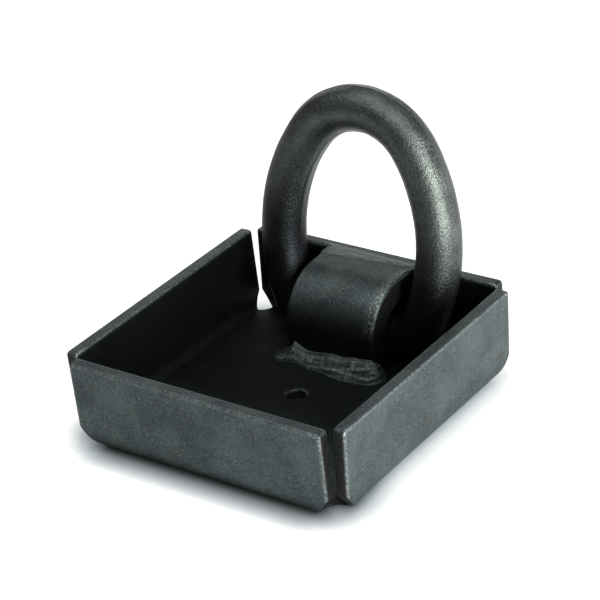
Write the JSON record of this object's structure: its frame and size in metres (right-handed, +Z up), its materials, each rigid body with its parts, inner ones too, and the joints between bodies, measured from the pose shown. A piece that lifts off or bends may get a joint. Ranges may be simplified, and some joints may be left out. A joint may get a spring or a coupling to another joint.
{
  "type": "weld-in tie-down anchor",
  "caption": "Square folded steel pan with a forged D-ring held under a welded strap; the ring stands against the back wall or folds down flush.",
  "frame": {"origin": "centre of the drain hole, on the underside of the pan's floor", "axes": "+X along the ring's bar, +Y to the back wall that the ring leans on, +Z up out of the pan"},
  "size_m": [0.15, 0.1572, 0.1306],
  "materials": {
    "pan_plate": "bare blasted plate, dark grey with a green-blue cast, satin, worn bright on its edges",
    "strap_bar": "bare blasted flat bar, dark grey, satin",
    "forged_ring": "bare forged steel with a trimmed flash line, blasted, satin",
    "weld_metal": "rough weld bead, uneven, with bright grains"
  },
  "bodies": {
    "anchor": {"pan": "pan_plate", "ring_strap": "strap_bar", "front_weld": "weld_metal", "top_weld": "weld_metal"},
    "ring": {"lashing_ring": "forged_ring"}
  },
  "joints": [
    {"name": "ring_swing", "type": "hinge", "parent": "anchor", "child": "ring", "pos_m": [0, 0.05278, 0.01715], "axis": [1, 0, 0], "range_deg": [0, 100.36]}
  ]
}
